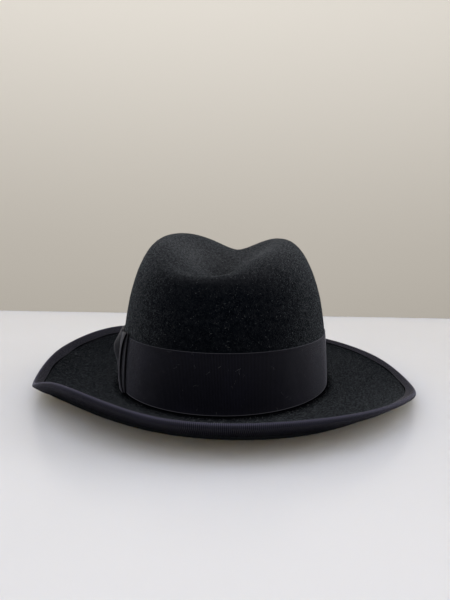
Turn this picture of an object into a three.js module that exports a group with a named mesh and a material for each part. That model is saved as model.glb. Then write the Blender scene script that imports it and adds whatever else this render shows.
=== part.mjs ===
// A man's felt hat of the fedora kind, resting on the edge of its head opening. Crown and brim are
// one piece of felt, with a long crease along the top, two soft pinches in front and a turned-up
// brim. A wide ribbed ribbon goes round the crown, with a flat bow on the wearer's left, and a
// narrower ribbon is bound round the brim's edge.
// Millimetres. +Z is up, +Y is the hat's front and +X the wearer's right. The origin is the middle
// of the head opening, in the plane that the hat rests on.
import * as THREE from "three";

// Felt
const feltThickness = 2;
const crownHalfWidth = 86;
const crownHalfLength = 99.5;
const domeHeight = 130; // from the crown's foot to the top of the dome, before it is creased
const breakRadius = 1.5; // fillet where the crown turns out into the brim
const brimWidth = 66; // to the outside of the ribbon round its edge
const restWidth = 6; // the flat ring of brim, next to the crown, that the hat rests on

// Crease along the crown's top, cut down from the dome
const creaseDepth = 27.5;
const creaseHalfWidth = 34.5;
const creaseDrift = 5; // how far its line runs to the right in front, and to the left behind
const creaseBackGain = 0.57; // how much deeper it is at the back than in the middle
const creaseBackFlare = 0.2; // how much wider it is at the back than in the middle
const creaseRoundness = 1.8; // 2 is a round valley, less is a sharper one
const creaseStart = 0.655; // share of the dome's height where the felt starts to sink
const leftRidgeLift = 2.7; // the left ridge stands this much higher, and the right one lower
const leanStart = 0.4; // share of the dome's height where that lean starts

// Bowl pressed deeper into the crease, behind a lip at the crown's back
const bowlDepth = 14.5;
const bowlHalfWidth = 33;
const bowlHalfLength = 27;
const bowlSide = 0.03; // shares of the crown's half width and half length, to the right and back
const bowlBack = 0.23;

// Pinches on both sides of the crown's front
const pinchDepth = 9;
const pinchRadius = 28;
const pinchSide = 0.56; // shares of the crown's half width, half length and the dome's height
const pinchFront = 0.66;
const pinchHeight = 0.65;
const pinchBackward = 0.4; // how far it pushes the felt back, as a share of its depth

// Ribbons
const ribbonThickness = 0.6;
const bandWidth = 41.5;
const bindingWidth = 5.5; // what shows on each face of the brim
const clearance = 0.3; // between any two pieces

// Bow, made of an under strip, an over strip and the knot that holds them
const bowAngle = 202; // degrees round the crown from the wearer's right, by way of the front
const underLength = 73;
const overLength = 71;
const bowBackRise = 3.5; // how far the bow reaches above the band at its back end
const bowMiddleRise = 0.5;
const bowFrontRise = -1.5;
const underHollow = 2.1; // how far the strips' ends draw in, half way up
const overHollow = 7;
const underLift = 0.8; // how far the strips' back ends stand off, beyond lying flat
const overLift = 2;
const frontLiftShare = 0.5; // share of that lift at the front ends
const knotLength = 17;
const knotLift = 3.6; // how far the knot's middle stands off, beyond lying flat
const knotTopReturn = 1.4; // how far the knot turns in over the strips

// The dome before it is creased: shares of the dome's height, and of the crown's half width and,
// behind and in front, its half length.
const domeTable = [
  { rise: 0.0, side: 1.0, back: 1.0, front: 1.0 },
  { rise: 0.13, side: 0.987, back: 0.99, front: 0.985 },
  { rise: 0.32, side: 0.963, back: 0.97, front: 0.958 },
  { rise: 0.5, side: 0.92, back: 0.932, front: 0.91 },
  { rise: 0.65, side: 0.857, back: 0.87, front: 0.845 },
  { rise: 0.77, side: 0.78, back: 0.792, front: 0.768 },
  { rise: 0.865, side: 0.69, back: 0.7, front: 0.68 },
  { rise: 0.933, side: 0.575, back: 0.587, front: 0.57 },
  { rise: 0.971, side: 0.44, back: 0.45, front: 0.44 },
  { rise: 0.992, side: 0.262, back: 0.27, front: 0.262 },
  { rise: 1.0, side: 0.0, back: 0.0, front: 0.0 },
];

// The brim every 30 degrees, from the wearer's right by way of the front. Reach is how far out the
// edge lies, rise how high an even slope takes it and curl how much more its outer part turns up,
// all as shares of the brim's width.
const brimTable = [
  { reach: 1.015, rise: 0.014, curl: 0.035 },
  { reach: 0.990, rise: 0.046, curl: 0.055 },
  { reach: 0.985, rise: 0.070, curl: 0.065 },
  { reach: 0.950, rise: 0.080, curl: 0.070 },
  { reach: 1.000, rise: 0.095, curl: 0.079 },
  { reach: 1.000, rise: 0.186, curl: 0.128 },
  { reach: 0.985, rise: 0.136, curl: 0.112 },
  { reach: 0.970, rise: 0.065, curl: 0.070 },
  { reach: 0.940, rise: 0.225, curl: 0.198 },
  { reach: 0.930, rise: 0.183, curl: 0.145 },
  { reach: 0.955, rise: 0.138, curl: 0.172 },
  { reach: 0.990, rise: 0.158, curl: 0.070 },
];
const slopePower = 1.3; // how the even slope gathers towards the edge
const curlStart = 0.6; // share of the brim's width where the extra curl starts

// How the bow puffs out over its height: shares of its height, and of the strips' and the knot's
// lift.
const puffTable = [
  { height: 0.0, strip: 0.35, knot: 0.0 },
  { height: 0.12, strip: 0.85, knot: 0.03 },
  { height: 0.35, strip: 1.0, knot: 0.35 },
  { height: 0.66, strip: 1.0, knot: 1.0 },
  { height: 0.85, strip: 0.9, knot: 0.5 },
  { height: 1.0, strip: 0.5, knot: 0.0 },
];

// Sampling
const stepsAround = 60;
const crownStations = [0.13, 0.27, 0.37, 0.46, 0.54, 0.62, 0.69, 0.76, 0.83, 0.89, 0.95];
const slopeStations = [0.26, 0.46, 0.64, 0.8, 0.91]; // from the flat ring to the binding
const stripSteps = 12;
const stripRows = [0, 0.12, 0.32, 0.5, 0.68, 0.86, 1]; // shares of the strips' height
const knotColumns = [-1, -0.5, 0, 0.5, 1]; // shares of the knot's half length
const knotRows = [0, 0.15, 0.35, 0.52, 0.68, 0.85, 1]; // shares of the strips' height

// Heights of the felt's main lines
const crownFoot = feltThickness + breakRadius;
const bandTop = crownFoot + bandWidth;
const ribbonOff = clearance + ribbonThickness; // from the felt to the outer face of a ribbon on it

// Shape functions

// Smooth step from 0 at the start to 1 at the end.
function ramp(value, start, end) {
  return THREE.MathUtils.smoothstep(value, start, end);
}

// Slopes of a curve through points that never swings past them, for uneven steps.
function steadySlopes(knots, values) {
  const secants = values.slice(1).map((v, i) => (v - values[i]) / (knots[i + 1] - knots[i]));
  return values.map((_, i) => {
    if (i === 0) return secants[0];
    if (i === values.length - 1) return secants[i - 1];
    const before = secants[i - 1];
    const after = secants[i];
    return before * after <= 0 ? 0 : (2 * before * after) / (before + after);
  });
}

function steadyCurve(knots, values) {
  const slopes = steadySlopes(knots, values);
  return (at) => {
    const next = knots.findIndex((k) => k > at);
    const i = next < 0 ? knots.length - 2 : Math.max(next - 1, 0);
    const span = knots[i + 1] - knots[i];
    const t = (at - knots[i]) / span;
    return (
      values[i] * (1 + 2 * t) * (1 - t) ** 2 +
      slopes[i] * span * t * (1 - t) ** 2 +
      values[i + 1] * t * t * (3 - 2 * t) +
      slopes[i + 1] * span * t * t * (t - 1)
    );
  };
}

// Smooth closed curve through evenly spaced rows, read at an angle.
function roundCurve(rows, column) {
  const n = rows.length;
  const value = (i) => rows[((i % n) + n) % n][column];
  return (angle) => {
    const u = (angle / (2 * Math.PI)) * n;
    const i = Math.floor(u);
    const t = u - i;
    const [p0, p1, p2, p3] = [value(i - 1), value(i), value(i + 1), value(i + 2)];
    const linear = p2 - p0;
    const square = 2 * p0 - 5 * p1 + 4 * p2 - p3;
    const cube = 3 * p1 - p0 - 3 * p2 + p3;
    return p1 + 0.5 * (linear * t + square * t ** 2 + cube * t ** 3);
  };
}

// The dome's profile runs by chord length, from 0 at the crown's foot to 1 at its top.
const domeKnots = [0];
for (let i = 1; i < domeTable.length; i++) {
  const rise = (domeTable[i].rise - domeTable[i - 1].rise) * domeHeight;
  const inward = (domeTable[i].side - domeTable[i - 1].side) * crownHalfWidth;
  domeKnots.push(domeKnots[i - 1] + Math.hypot(rise, inward));
}
const chordLength = domeKnots[domeKnots.length - 1];
domeKnots.forEach((knot, i) => (domeKnots[i] = knot / chordLength));
const domeCurve = {};
for (const column of ["rise", "side", "back", "front"]) {
  domeCurve[column] = steadyCurve(domeKnots, domeTable.map((row) => row[column]));
}
const puffCurve = {};
for (const column of ["strip", "knot"]) {
  puffCurve[column] = steadyCurve(
    puffTable.map((row) => row.height),
    puffTable.map((row) => row[column]),
  );
}
const brimCurve = {};
for (const column of ["reach", "rise", "curl"]) {
  brimCurve[column] = roundCurve(brimTable, column);
}

// A point of the crown's outer face, by its angle and its station on the dome's profile.
function crownPoint(angle, station) {
  const rise = domeCurve.rise(station);
  const lengthShare = Math.sin(angle) < 0 ? domeCurve.back(station) : domeCurve.front(station);
  const x = crownHalfWidth * domeCurve.side(station) * Math.cos(angle);
  const y = crownHalfLength * lengthShare * Math.sin(angle);
  const back = -y / crownHalfLength;
  const valleyWidth = creaseHalfWidth * (1 + creaseBackFlare * back);
  const fromValley = x + creaseDrift * back;
  const valley = Math.exp(-(Math.abs(fromValley / valleyWidth) ** creaseRoundness));
  const aside = (x - bowlSide * crownHalfWidth) / bowlHalfWidth;
  const along = (y + bowlBack * crownHalfLength) / bowlHalfLength;
  const bowl = bowlDepth * Math.exp(-(aside ** 2) - along ** 2);
  const crease = creaseDepth * (1 + creaseBackGain * back) * valley;
  const sink = (crease + bowl) * ramp(rise, creaseStart, 1);
  const lean = (leftRidgeLift * -x * ramp(rise, leanStart, 1)) / crownHalfWidth;
  const point = new THREE.Vector3(x, y, crownFoot + domeHeight * rise - sink + lean);
  for (const side of [-1, 1]) {
    const centre = new THREE.Vector3(
      side * pinchSide * crownHalfWidth,
      pinchFront * crownHalfLength,
      crownFoot + pinchHeight * domeHeight,
    );
    const nearness = Math.exp(-((point.distanceTo(centre) / pinchRadius) ** 2));
    point.x -= side * pinchDepth * nearness;
    point.y -= pinchDepth * pinchBackward * nearness;
  }
  return point;
}

// The crown's foot in plan, and the level direction straight out of it.
function footPoint(angle) {
  return new THREE.Vector3(crownHalfWidth * Math.cos(angle), crownHalfLength * Math.sin(angle), 0);
}

function outOfFoot(angle) {
  const outward = new THREE.Vector3(Math.cos(angle) / crownHalfWidth, Math.sin(angle) / crownHalfLength, 0);
  return outward.normalize();
}

// A point of the brim's upper face, by its angle and its level distance out of the crown's foot.
// Out to the break radius it is the fillet.
function brimPoint(angle, out) {
  let height = feltThickness;
  if (out < breakRadius) {
    height += breakRadius - Math.sqrt(breakRadius ** 2 - (breakRadius - Math.max(out, 0)) ** 2);
  }
  const start = breakRadius + restWidth;
  const share = Math.max((out - start) / (reachAt(angle) - start), 0);
  const curlShare = Math.max((share - curlStart) / (1 - curlStart), 0);
  height += brimWidth * brimCurve.rise(angle) * share ** slopePower;
  height += brimWidth * brimCurve.curl(angle) * curlShare ** 2;
  return footPoint(angle).addScaledVector(outOfFoot(angle), out).setZ(height);
}

// How far out of the crown's foot the felt's edge lies.
function reachAt(angle) {
  return brimWidth * brimCurve.reach(angle) - ribbonOff;
}

// The direction square to a face, away from the felt, by small steps both ways along it.
function faceNormal(face, angle, along) {
  const step = 1e-4;
  const around = face(angle + step, along).sub(face(angle - step, along));
  const outward = face(angle, along + step).sub(face(angle, along - step));
  return outward.cross(around).normalize();
}

// One place on the felt: a point of its outer or upper face, and the direction out of it.
function crownPlace(angle, station) {
  const normal = faceNormal(crownPoint, angle, station).negate();
  return { point: crownPoint(angle, station), normal };
}

function brimPlace(angle, out) {
  return { point: brimPoint(angle, out), normal: faceNormal(brimPoint, angle, out) };
}

function offFelt(place, distance) {
  return place.point.clone().addScaledVector(place.normal, distance);
}

// The station on the dome's profile at a height, below where the crease starts.
function stationAt(height) {
  const halvings = 40;
  let low = 0;
  let high = 1;
  for (let i = 0; i < halvings; i++) {
    const middle = (low + high) / 2;
    if (crownFoot + domeHeight * domeCurve.rise(middle) < height) low = middle;
    else high = middle;
  }
  return (low + high) / 2;
}

// Geometry helpers

const angles = Array.from({ length: stepsAround }, (_, i) => (2 * Math.PI * i) / stepsAround);

function geometryOf(points, triangles) {
  const made = new THREE.BufferGeometry();
  made.setAttribute("position", new THREE.Float32BufferAttribute(points.flatMap((p) => p.toArray()), 3));
  const volume = triangles.reduce(
    (sum, [a, b, c]) => sum + points[a].dot(new THREE.Vector3().crossVectors(points[b], points[c])),
    0,
  );
  made.setIndex(triangles.flatMap(([a, b, c]) => (volume < 0 ? [a, c, b] : [a, b, c])));
  made.computeVertexNormals();
  return made;
}

// A sheet with thickness, from two equal grids of points: one for each face. Closed joins the last
// row to the first.
function sheet(inner, outer, closed) {
  const rows = inner.length;
  const columns = inner[0].length;
  const points = [...inner.flat(), ...outer.flat()];
  const at = (face, i, j) => face * rows * columns + (i % rows) * columns + j;
  const triangles = [];
  const quad = (a, b, c, d) => triangles.push([a, b, c], [a, c, d]);
  const lastRow = closed ? rows : rows - 1;
  for (let i = 0; i < lastRow; i++) {
    for (let j = 0; j < columns - 1; j++) {
      quad(at(1, i, j), at(1, i + 1, j), at(1, i + 1, j + 1), at(1, i, j + 1));
      quad(at(0, i, j), at(0, i, j + 1), at(0, i + 1, j + 1), at(0, i + 1, j));
    }
    quad(at(0, i, 0), at(0, i + 1, 0), at(1, i + 1, 0), at(1, i, 0));
    const j = columns - 1;
    quad(at(1, i, j), at(1, i + 1, j), at(0, i + 1, j), at(0, i, j));
  }
  if (!closed) {
    for (let j = 0; j < columns - 1; j++) {
      quad(at(0, 0, j), at(1, 0, j), at(1, 0, j + 1), at(0, 0, j + 1));
      const i = rows - 1;
      quad(at(1, i, j), at(0, i, j), at(0, i, j + 1), at(1, i, j + 1));
    }
  }
  return geometryOf(points, triangles);
}

// A closed skin of rings of points, with a point in the middle of the first and the last ring.
function ringSkin(firstPole, rings, lastPole) {
  const n = stepsAround;
  const points = [firstPole, ...rings.flat(), lastPole];
  const at = (ring, j) => 1 + ring * n + (j % n);
  const last = points.length - 1;
  const triangles = [];
  for (let j = 0; j < n; j++) {
    triangles.push([0, at(0, j), at(0, j + 1)]);
    for (let ring = 0; ring < rings.length - 1; ring++) {
      triangles.push([at(ring, j), at(ring + 1, j), at(ring + 1, j + 1)]);
      triangles.push([at(ring, j), at(ring + 1, j + 1), at(ring, j + 1)]);
    }
    triangles.push([last, at(rings.length - 1, j + 1), at(rings.length - 1, j)]);
  }
  return geometryOf(points, triangles);
}

// Felt body

// Distances out of the crown's foot, at one angle, where the brim has its rings.
function brimStations(angle) {
  const start = breakRadius + restWidth;
  const reach = reachAt(angle);
  return [
    breakRadius * (1 - Math.SQRT1_2),
    breakRadius,
    start,
    ...slopeStations.map((share) => start + (reach - bindingWidth - start) * share),
    ...edgeStations(angle),
  ];
}

// The binding's two ends and its middle lie over rings of the felt.
function edgeStations(angle) {
  return [bindingWidth, bindingWidth / 2, 0].map((inside) => reachAt(angle) - inside);
}

function feltGeometry() {
  const crownRings = [0, stationAt(crownFoot + bandWidth / 2), stationAt(bandTop)];
  const bandStation = crownRings[crownRings.length - 1];
  const upper = crownStations.map((share) => bandStation + (1 - bandStation) * share);
  const stations = [...crownRings, ...upper].reverse();
  const places = stations.map((station) => angles.map((angle) => crownPlace(angle, station)));
  const brimCount = brimStations(0).length;
  for (let k = 0; k < brimCount; k++) {
    places.push(angles.map((angle) => brimPlace(angle, brimStations(angle)[k])));
  }
  const outer = places.map((ring) => ring.map((place) => place.point));
  const inner = places.map((ring) => ring.map((place) => offFelt(place, -feltThickness)));
  const top = crownPoint(0, 1);
  const underTop = top.clone().setZ(top.z - feltThickness);
  return ringSkin(top, [...outer, ...inner.reverse()], underTop);
}

// Ribbons

// The band's rings lie on the felt's own rings, at the same angles.
function bandGeometry() {
  const stations = [0, stationAt(crownFoot + bandWidth / 2), stationAt(bandTop)];
  const face = (distance) =>
    angles.map((angle) => stations.map((station) => offFelt(crownPlace(angle, station), distance)));
  return sheet(face(clearance), face(ribbonOff), true);
}

// The binding's section at a distance off the felt: out along the brim's upper face, round the edge
// and back in under it. Corner is how far its two corners go out, as a share of that distance.
function bindingSection(angle, distance, corner) {
  const places = edgeStations(angle).map((out) => brimPlace(angle, out));
  const edge = places[places.length - 1];
  const level = outOfFoot(angle);
  const outward = level.addScaledVector(edge.normal, -level.dot(edge.normal)).normalize();
  const below = (place, more) => offFelt(place, -feltThickness - more);
  const turn = (depth, up, out) =>
    offFelt(edge, depth + up * distance).addScaledVector(outward, out * distance);
  return [
    ...places.map((place) => offFelt(place, distance)),
    turn(0, corner, corner),
    turn(-feltThickness / 2, 0, 1),
    turn(-feltThickness, -corner, corner),
    ...places.map((place) => below(place, distance)).reverse(),
  ];
}

function bindingGeometry() {
  const inner = angles.map((angle) => bindingSection(angle, clearance, 1));
  const outer = angles.map((angle) => bindingSection(angle, clearance + ribbonThickness, Math.SQRT1_2));
  return sheet(inner, outer, true);
}

// Bow

// The angle a given distance round the crown's foot from the bow's middle.
function angleAlong(distance) {
  const steps = 40;
  let angle = THREE.MathUtils.degToRad(bowAngle);
  for (let i = 0; i < steps; i++) {
    const pace = Math.hypot(crownHalfWidth * Math.sin(angle), crownHalfLength * Math.cos(angle));
    angle += distance / steps / pace;
  }
  return angle;
}

// How far a strip has left the knot, from 0 under it to 1 at the strip's end.
function clearOfKnot(along, length) {
  return ramp(Math.abs(along), knotLength / length, 1);
}

// The height of a strip's top edge, which climbs towards its back end and sinks towards its front.
function stripTop(along, length) {
  const end = along < 0 ? bowFrontRise : bowBackRise;
  return bandTop + bowMiddleRise + (end - bowMiddleRise) * clearOfKnot(along, length);
}

// A strip that lies along the band, with ends that are hollow half way up. Off gives its distance from
// the band's outer face, by the place along it from -1 to 1 and the share of its height; the strip runs
// up from the band's foot.
function stripFace(length, hollow, off) {
  return Array.from({ length: stripSteps + 1 }, (_, i) => {
    const along = (2 * i) / stripSteps - 1;
    const top = stripTop(along, length);
    return stripRows.map((share) => {
      const halfLength = length / 2 - hollow * Math.sin(Math.PI * share);
      const angle = angleAlong(along * halfLength);
      const station = stationAt(crownFoot + (top - crownFoot) * share);
      return offFelt(crownPlace(angle, station), ribbonOff + off(along, share));
    });
  });
}

function lift(along, length, share) {
  const endShare = along < 0 ? frontLiftShare : 1;
  return endShare * clearOfKnot(along, length) * puffCurve.strip(share);
}

function underOff(along, share) {
  return clearance + underLift * lift(along, underLength, share);
}

function overOff(along, share) {
  return ribbonOff + clearance + overLift * lift(along, overLength, share);
}

function stripGeometry(length, hollow, off) {
  const inner = stripFace(length, hollow, off);
  const outer = stripFace(length, hollow, (along, share) => off(along, share) + ribbonThickness);
  return sheet(inner, outer, false);
}

// The knot lies over both strips and turns in over their tops.
function knotGeometry() {
  const top = bandTop + bowMiddleRise;
  const flat = 2 * ribbonOff + clearance;
  const face = (distance) =>
    knotColumns.map((along) => {
      const angle = angleAlong((along * knotLength) / 2);
      const at = (height, off) => offFelt(crownPlace(angle, stationAt(height)), ribbonOff + off);
      const wall = knotRows.map((share) => {
        const puff = knotLift * (1 - along ** 2) * puffCurve.knot(share);
        return at(crownFoot + (top - crownFoot) * share, flat + puff + distance);
      });
      const lid = top + clearance + distance;
      return [...wall, at(lid, flat), at(lid, flat - knotTopReturn)];
    });
  return sheet(face(0), face(ribbonThickness), false);
}

// Assembly

const felt = { color: 0x16181a, roughness: 0.95, metalness: 0 };
const bandRibbon = { color: 0x1b1b20, roughness: 0.7, metalness: 0 };
const bindingRibbon = { color: 0x222028, roughness: 0.7, metalness: 0 };

const hat = new THREE.Group();

function addPiece(name, geometry, finish) {
  const mesh = new THREE.Mesh(geometry, new THREE.MeshStandardMaterial(finish));
  mesh.name = name;
  hat.add(mesh);
}

addPiece("felt_body", feltGeometry(), felt);
addPiece("brim_binding", bindingGeometry(), bindingRibbon);
addPiece("crown_band", bandGeometry(), bandRibbon);
addPiece("bow_under_strip", stripGeometry(underLength, underHollow, underOff), bandRibbon);
addPiece("bow_over_strip", stripGeometry(overLength, overHollow, overOff), bandRibbon);
addPiece("bow_knot", knotGeometry(), bandRibbon);

export default hat;
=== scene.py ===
import math

import bpy
import numpy as np
from mathutils import Matrix, Vector


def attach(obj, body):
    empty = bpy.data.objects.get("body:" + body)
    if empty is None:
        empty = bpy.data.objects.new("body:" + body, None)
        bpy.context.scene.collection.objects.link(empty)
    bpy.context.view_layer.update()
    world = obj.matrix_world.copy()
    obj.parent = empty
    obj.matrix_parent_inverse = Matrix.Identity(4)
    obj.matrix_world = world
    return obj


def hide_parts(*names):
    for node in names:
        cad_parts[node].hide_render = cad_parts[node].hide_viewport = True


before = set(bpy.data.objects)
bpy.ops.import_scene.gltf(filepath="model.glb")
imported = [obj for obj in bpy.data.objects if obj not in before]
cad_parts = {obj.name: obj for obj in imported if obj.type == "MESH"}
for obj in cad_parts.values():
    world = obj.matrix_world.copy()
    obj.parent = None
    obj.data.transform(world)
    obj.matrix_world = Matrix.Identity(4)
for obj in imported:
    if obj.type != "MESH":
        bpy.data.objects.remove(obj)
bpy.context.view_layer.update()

# Sizes in millimetres, as in the part's source. +Z is up, +Y the hat's front, +X the wearer's right.
MM = 0.001
TAU = 2 * math.pi
# The felt's wall, the crown's half width, half length and uncreased height, and the bend at its foot
FELT = 2.0
CROWN_A, CROWN_B, DOME = 86.0, 99.5, 130.0
BREAK = 1.5
# The brim's width, and how much of it next to the crown stays level
BRIM = 66.0
REST = 6.0
# The crease along the crown, its lean to one side, the bowl in it and the two pinches at the front
CREASE, CREASE_W, CREASE_DRIFT = 27.5, 34.5, 5.0
CREASE_GAIN, CREASE_FLARE, CREASE_ROUND, CREASE_START = 0.57, 0.2, 1.8, 0.655
LEAN, LEAN_START = 2.7, 0.4
BOWL, BOWL_W, BOWL_L, BOWL_SIDE, BOWL_BACK = 14.5, 33.0, 27.0, 0.03, 0.23
PINCH, PINCH_R, PINCH_SIDE, PINCH_FRONT, PINCH_HIGH, PINCH_BACKWARD = 9.0, 28.0, 0.56, 0.66, 0.65, 0.4
# The ribbons, and the shape of the brim's slope. The bow's strips stand proud of the band at its back end.
BAND_W, BINDING_W = 41.5, 5.5
SLOPE_POWER, CURL_START = 1.3, 0.6
BOW_ANGLE, UNDER_LEN, OVER_LEN, KNOT_LEN = 202.0, 73.0, 71.0, 17.0
BACK_PROUD, MIDDLE_PROUD, FRONT_PROUD = 3.5, 0.5, -1.5
UNDER_HOLLOW, OVER_HOLLOW = 2.1, 7.0
UNDER_LIFT, OVER_LIFT, FRONT_SHARE, KNOT_LIFT = 0.8, 2.3, 0.5, 4.9
FOOT = FELT + BREAK
# From the felt to the outer face of the solid ribbon, which the brim's reach allows for
RIBBON_OFF = 0.9

# The crown's profile: rise, then how wide it is there to the sides, to the back and to the front
DOME_TABLE = np.array([
    (0.0, 1.0, 1.0, 1.0), (0.13, 0.987, 0.99, 0.985), (0.32, 0.963, 0.97, 0.958),
    (0.5, 0.92, 0.932, 0.91), (0.65, 0.857, 0.87, 0.845), (0.77, 0.78, 0.792, 0.768),
    (0.865, 0.69, 0.7, 0.68), (0.933, 0.575, 0.587, 0.57), (0.971, 0.44, 0.45, 0.44),
    (0.992, 0.262, 0.27, 0.262), (1.0, 0.0, 0.0, 0.0),
])
# Round the brim, every 30 degrees from +X: its reach, its rise and the curl of its edge, as shares of BRIM
BRIM_TABLE = np.array([
    (1.015, 0.014, 0.035), (0.990, 0.046, 0.055), (0.985, 0.070, 0.065), (0.950, 0.080, 0.070),
    (1.000, 0.095, 0.079), (1.000, 0.186, 0.128), (0.985, 0.136, 0.112), (0.970, 0.065, 0.070),
    (0.940, 0.225, 0.198), (0.930, 0.183, 0.145), (0.955, 0.138, 0.172), (0.990, 0.158, 0.070),
])


# Curves

def smooth(x, low, high):
    """0 below low, 1 above high, and a smooth step between."""
    t = np.clip((x - low) / (high - low), 0.0, 1.0)
    return t * t * (3 - 2 * t)


def steady_curve(knots, values):
    """A curve through points that never swings past them."""
    knots, values = np.asarray(knots, float), np.asarray(values, float)
    secants = np.diff(values) / np.diff(knots)
    slopes = np.empty_like(values)
    slopes[0], slopes[-1] = secants[0], secants[-1]
    before, after = secants[:-1], secants[1:]
    product = before * after
    total = before + after
    slopes[1:-1] = np.where(product > 0, 2 * product / np.where(total == 0, 1, total), 0.0)

    def read(at):
        at = np.asarray(at, float)
        i = np.clip(np.searchsorted(knots, at, side="right") - 1, 0, len(knots) - 2)
        span = knots[i + 1] - knots[i]
        t = (at - knots[i]) / span
        return (values[i] * (1 + 2 * t) * (1 - t) ** 2 + slopes[i] * span * t * (1 - t) ** 2
                + values[i + 1] * t * t * (3 - 2 * t) + slopes[i + 1] * span * t * t * (t - 1))
    return read


def round_curve(values):
    """A smooth closed curve through evenly spaced values, read at an angle."""
    v = np.asarray(values, float)
    n = len(v)

    def read(angle):
        u = np.asarray(angle, float) / TAU * n
        i = np.floor(u).astype(int)
        t = u - i
        p0, p1, p2, p3 = v[(i - 1) % n], v[i % n], v[(i + 1) % n], v[(i + 2) % n]
        return 0.5 * (2 * p1 + (p2 - p0) * t + (2 * p0 - 5 * p1 + 4 * p2 - p3) * t ** 2
                      + (3 * p1 - p0 - 3 * p2 + p3) * t ** 3)
    return read


def waves(seed, count, low, high):
    """A smooth random closed curve of an angle, about 1 high."""
    rng = np.random.default_rng(seed)
    turns = rng.integers(low, high, count)
    phases = rng.uniform(0, TAU, count)
    sizes = rng.uniform(0.4, 1.0, count)
    sizes /= np.sqrt((sizes ** 2).sum() / 2)

    def read(angle):
        angle = np.asarray(angle, float)
        return sum(s * np.sin(k * angle + p) for s, k, p in zip(sizes, turns, phases))
    return read


profile_steps = np.hypot(np.diff(DOME_TABLE[:, 0]) * DOME, np.diff(DOME_TABLE[:, 1]) * CROWN_A)
knots = np.r_[0, np.cumsum(profile_steps)]
knots /= knots[-1]
dome_rise, dome_side, dome_back, dome_front = (steady_curve(knots, DOME_TABLE[:, k]) for k in range(4))
brim_reach, brim_rise, brim_curl = (round_curve(BRIM_TABLE[:, k]) for k in range(3))


# The felt's shape

def bowl_share(x, y):
    """How much of the crown's bowl, a round hollow in its crease, lies at a place."""
    return np.exp(-((x - BOWL_SIDE * CROWN_A) / BOWL_W) ** 2 - ((y + BOWL_BACK * CROWN_B) / BOWL_L) ** 2)


def crown_point(angle, station):
    """The crown's outer face, by the angle and the station on its profile, from 0 at the foot to 1."""
    rise = dome_rise(station)
    share = np.where(np.sin(angle) < 0, dome_back(station), dome_front(station))
    x = CROWN_A * dome_side(station) * np.cos(angle)
    y = CROWN_B * share * np.sin(angle)
    back = -y / CROWN_B
    across = (x + CREASE_DRIFT * back) / (CREASE_W * (1 + CREASE_FLARE * back))
    valley = np.exp(-np.abs(across) ** CREASE_ROUND)
    bowl = BOWL * bowl_share(x, y)
    sink = (CREASE * (1 + CREASE_GAIN * back) * valley + bowl) * smooth(rise, CREASE_START, 1.0)
    lean = LEAN * -x * smooth(rise, LEAN_START, 1.0) / CROWN_A
    z = FOOT + DOME * rise - sink + lean
    for side in (-1, 1):
        away = ((x - side * PINCH_SIDE * CROWN_A) ** 2 + (y - PINCH_FRONT * CROWN_B) ** 2
                + (z - FOOT - PINCH_HIGH * DOME) ** 2)
        near = np.exp(-away / PINCH_R ** 2)
        x = x - side * PINCH * near
        y = y - PINCH * PINCH_BACKWARD * near
    return np.stack([x, y, z], -1)


def reach_at(angle):
    return BRIM * brim_reach(angle) - RIBBON_OFF


def foot_point(angle):
    return np.stack([CROWN_A * np.cos(angle), CROWN_B * np.sin(angle)], -1)


def out_of_foot(angle):
    n = np.stack([np.cos(angle) / CROWN_A, np.sin(angle) / CROWN_B], -1)
    return n / np.linalg.norm(n, axis=-1, keepdims=True)


def brim_point(angle, out):
    """The brim's upper face, by the angle and the distance out from the crown's foot."""
    angle, out = np.broadcast_arrays(np.asarray(angle, float), np.asarray(out, float))
    fillet = BREAK - np.sqrt(np.clip(BREAK ** 2 - (BREAK - np.clip(out, 0, BREAK)) ** 2, 0, None))
    start = BREAK + REST
    share = np.clip((out - start) / (reach_at(angle) - start), 0, None)
    curl = np.clip((share - CURL_START) / (1 - CURL_START), 0, None)
    z = FELT + fillet + BRIM * (brim_rise(angle) * share ** SLOPE_POWER + brim_curl(angle) * curl ** 2)
    xy = foot_point(angle) + out_of_foot(angle) * out[..., None]
    return np.concatenate([xy, z[..., None]], -1)


def normal_of(face, angle, along, step=1e-4):
    around = face(angle + step, along) - face(angle - step, along)
    outward = face(angle, along + step) - face(angle, along - step)
    n = np.cross(around, outward)
    return n / np.linalg.norm(n, axis=-1, keepdims=True)


def crown_place(angle, station):
    """A place on the crown's outer face and the normal there."""
    angle, station = np.broadcast_arrays(np.asarray(angle, float), np.asarray(station, float))
    return crown_point(angle, station), normal_of(crown_point, angle, station)


def brim_place(angle, out):
    """A place on the brim's upper face and the normal there."""
    angle, out = np.broadcast_arrays(np.asarray(angle, float), np.asarray(out, float))
    return brim_point(angle, out), -normal_of(brim_point, angle, out)


def station_at(height):
    """The station on the dome's profile at a height, below where the crease starts."""
    low, high = np.zeros_like(np.asarray(height, float)), np.ones_like(np.asarray(height, float))
    for _ in range(40):
        middle = (low + high) / 2
        below = FOOT + DOME * dome_rise(middle) < height
        low, high = np.where(below, middle, low), np.where(below, high, middle)
    return (low + high) / 2


def out_at_edge(angles, edge_normals):
    """The direction straight out at the brim's edge, along the felt."""
    level = np.concatenate([out_of_foot(angles), np.zeros((len(angles), 1))], 1)
    level -= edge_normals * (level * edge_normals).sum(1, keepdims=True)
    return level / np.linalg.norm(level, axis=1, keepdims=True)


# Mesh helpers

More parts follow.
